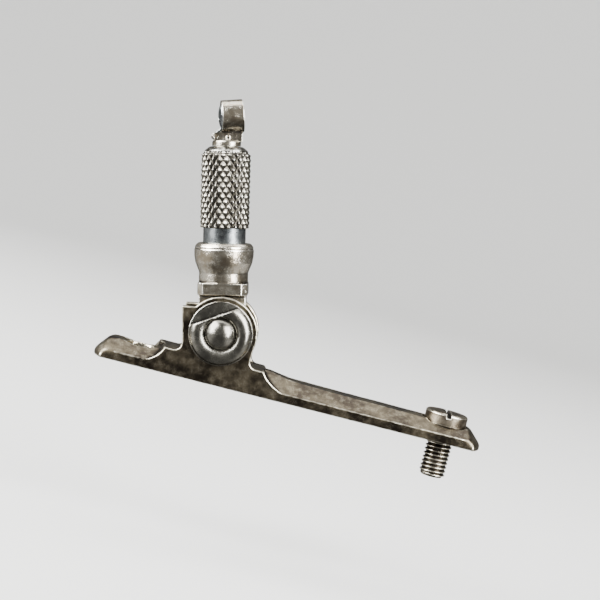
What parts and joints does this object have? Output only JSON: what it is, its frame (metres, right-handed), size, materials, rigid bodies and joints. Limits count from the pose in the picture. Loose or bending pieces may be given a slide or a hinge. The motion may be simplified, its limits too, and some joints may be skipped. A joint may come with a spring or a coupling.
{
  "type": "folding tang peep sight",
  "caption": "Folding tang peep sight: screwed base with pivoting stem, knurled elevation sleeve, sighting ring and turn-down peep disc.",
  "frame": {"origin": "on the flat underside of the base, straight below the stem's pivot", "axes": "+X back along the base from the pivot to the rear screw, +Z away from the underside, -Y the side of the lock disc"},
  "size_m": [0.0721, 0.014, 0.0576],
  "materials": {
    "browned_steel": "aged brown patina with bright worn edges",
    "worn_steel": "worn silver-brown steel with fine scratches",
    "polished_steel": "dark polished steel",
    "blued_steel": "smooth blued steel",
    "knurled_steel": "diamond knurl with bright worn tips",
    "screw_steel": "aged screw steel",
    "bright_steel": "plain turned steel",
    "washer_brass": "dull brass"
  },
  "bodies": {
    "base_body": {"base": "browned_steel", "rear_tang_screw": "screw_steel", "pivot_screw": "polished_steel", "lock_washer": "washer_brass", "detent_plug": "screw_steel", "detent_spring": "bright_steel"},
    "lock_body": {"lock_disc": "polished_steel"},
    "plunger_body": {"detent_plunger": "bright_steel"},
    "stem_body": {"joint_block": "worn_steel", "neck_tube": "blued_steel", "key_pin": "screw_steel"},
    "slider_body": {"slide_rod": "bright_steel", "retaining_collar": "bright_steel", "collar_pin": "screw_steel", "aperture_head": "worn_steel", "head_pin": "screw_steel", "peep_hinge_pin": "screw_steel"},
    "sleeve_body": {"knurled_sleeve": "knurled_steel"},
    "peep_body": {"peep_disc": "blued_steel"}
  },
  "joints": [
    {"name": "stem_fold", "type": "hinge", "parent": "base_body", "child": "stem_body", "pos_m": [0, 0, 0.0094], "axis": [0, 1, 0], "range_deg": [-17, 98]},
    {"name": "lock_turn", "type": "hinge", "parent": "base_body", "child": "lock_body", "pos_m": [0, 0, 0.0094], "axis": [0, -1, 0], "range_deg": [0, 50]},
    {"name": "plunger_press", "type": "slide", "parent": "base_body", "child": "plunger_body", "axis": [0, 0, 1], "range_m": [-0.0006, 0], "stiffness_N_per_m": 100, "deforming": ["detent_spring"]},
    {"name": "stem_raise", "type": "slide", "parent": "stem_body", "child": "slider_body", "axis": [-0.2215, 0, 0.9751], "range_m": [-0.0024, 0.0054]},
    {"name": "sleeve_turn", "type": "hinge", "parent": "slider_body", "child": "sleeve_body", "pos_m": [-0.00554, 0, 0.03378], "axis": [-0.2215, 0, 0.9751], "range_deg": [-320, 720]},
    {"name": "peep_turn_down", "type": "hinge", "parent": "slider_body", "child": "peep_body", "pos_m": [-0.00974, -0.00029, 0.04313], "axis": [0.1357, -0.9903, 0.0308], "range_deg": [0, 100]}
  ],
  "couplings": [
    {"joint": "sleeve_turn", "follows": "stem_raise", "rad_per_m": 2327.1}
  ]
}
